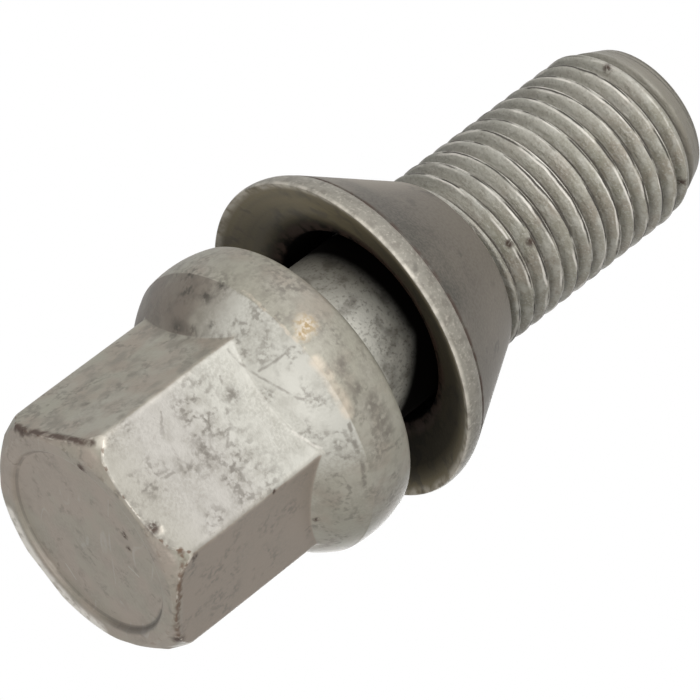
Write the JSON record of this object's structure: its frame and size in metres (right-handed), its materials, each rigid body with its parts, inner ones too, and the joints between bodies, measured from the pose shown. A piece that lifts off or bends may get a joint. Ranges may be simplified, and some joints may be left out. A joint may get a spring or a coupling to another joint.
{
  "type": "wheel bolt",
  "caption": "Hex-head wheel bolt with a flange, a plain neck, a fine metric thread and a loose conical seat collar that slides on the neck.",
  "frame": {"origin": "centre of the head's end face, on the bolt's axis", "axes": "+Z along the bolt from the head to the tip, one pair of hex flats faces -Y and +Y, hex corners at -X and +X"},
  "size_m": [0.0246, 0.0245, 0.0554],
  "materials": {
    "bolt_steel": "forged steel with dull zinc plating, scratched, with worn bright edges and rust specks",
    "collar_steel": "turned steel ring with dark dull zinc plating and a rubbed outer band"
  },
  "bodies": {
    "bolt": {"bolt": "bolt_steel"},
    "seat_collar": {"seat_collar": "collar_steel"}
  },
  "joints": [
    {"name": "collar_slide", "type": "slide", "parent": "bolt", "child": "seat_collar", "axis": [0, 0, 1], "range_m": [-0.0038, 0]}
  ]
}
